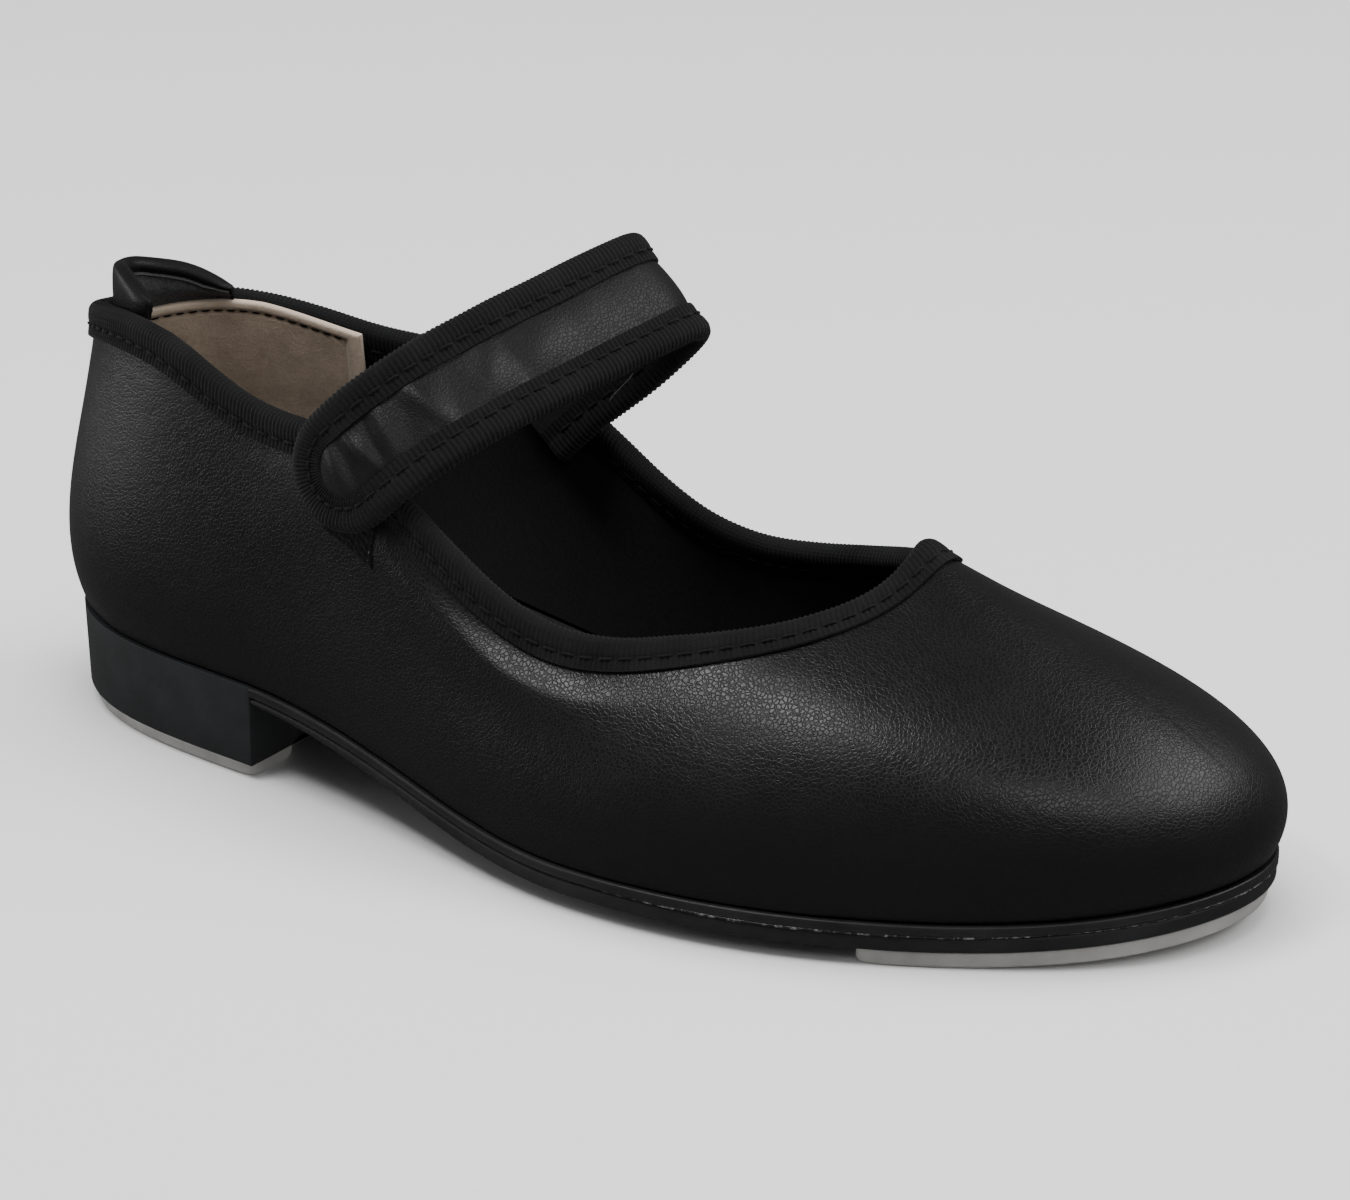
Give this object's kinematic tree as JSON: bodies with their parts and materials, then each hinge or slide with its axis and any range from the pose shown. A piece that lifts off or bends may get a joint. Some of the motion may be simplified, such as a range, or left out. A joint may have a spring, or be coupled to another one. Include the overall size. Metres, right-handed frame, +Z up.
{
  "type": "tap shoe",
  "caption": "Low-heeled strap shoe for tap dancing: pebbled black upper with bound topline, padded heel tab, instep strap closed by touch tape, metal toe tap and heel tap",
  "frame": {"origin": "on the floor under the middle of the shoe's length and width, at the level that the taps stand on", "axes": "+X points to the toe, +Y to the inner (medial) side of this right shoe, +Z up"},
  "size_m": [0.2148, 0.0796, 0.0861],
  "materials": {
    "sole_rubber": "semi-matte moulded sole sheet",
    "midsole_board": "satin edge with a thin glue line",
    "heel_plastic": "matt moulded block",
    "tap_alloy": "brushed and tumbled, softly rounded edges",
    "screw_steel": "plain bright steel",
    "shank_steel": "blued spring steel",
    "fibreboard": "pressed cellulose board",
    "filler_cork": "pressed cork",
    "sock_fabric": "plain woven sock cloth",
    "upper_vinyl": "pebbled coated leatherette, semi-matt",
    "stiffener": "thermoplastic sheet",
    "lining_fabric": "matt knitted lining",
    "suede": "brushed microsuede, napped",
    "foam": "open-cell foam",
    "grosgrain": "ribbed grosgrain ribbon",
    "touch_tape": "hook-and-loop pile"
  },
  "bodies": {
    "shoe": {"outsole": "sole_rubber", "midsole": "midsole_board", "heel_block": "heel_plastic", "toe_tap": "tap_alloy", "heel_tap": "tap_alloy", "toe_tap_screws": "screw_steel", "heel_tap_screws": "screw_steel", "heel_nails": "screw_steel", "insole_board": "fibreboard", "steel_shank": "shank_steel", "shank_rivets": "screw_steel", "bottom_filler": "filler_cork", "sock_liner": "sock_fabric", "upper_shell": "upper_vinyl", "toe_puff": "stiffener", "heel_counter": "stiffener", "upper_lining": "lining_fabric", "heel_lining_patch": "suede", "heel_tab": "upper_vinyl", "heel_tab_foam": "foam", "topline_binding": "grosgrain", "loop_tape": "touch_tape", "strap_base": "upper_vinyl"},
    "strap_riser": {"riser_cover": "upper_vinyl", "riser_lining": "lining_fabric", "riser_binding": "grosgrain"},
    "strap_flap": {"flap_cover": "upper_vinyl", "flap_lining": "lining_fabric", "flap_binding": "grosgrain", "hook_tape": "touch_tape"}
  },
  "joints": [
    {"name": "strap_root", "type": "hinge", "parent": "shoe", "child": "strap_riser", "pos_m": [-0.02448, 0.02269, 0.05977], "axis": [-0.6959, 0.0071, 0.7181], "range_deg": [0, 65]},
    {"name": "strap_fold", "type": "hinge", "parent": "strap_riser", "child": "strap_flap", "pos_m": [-0.00678, 0.02615, 0.07776], "axis": [-0.7183, 0.0224, 0.6954], "range_deg": [0, 105]}
  ]
}
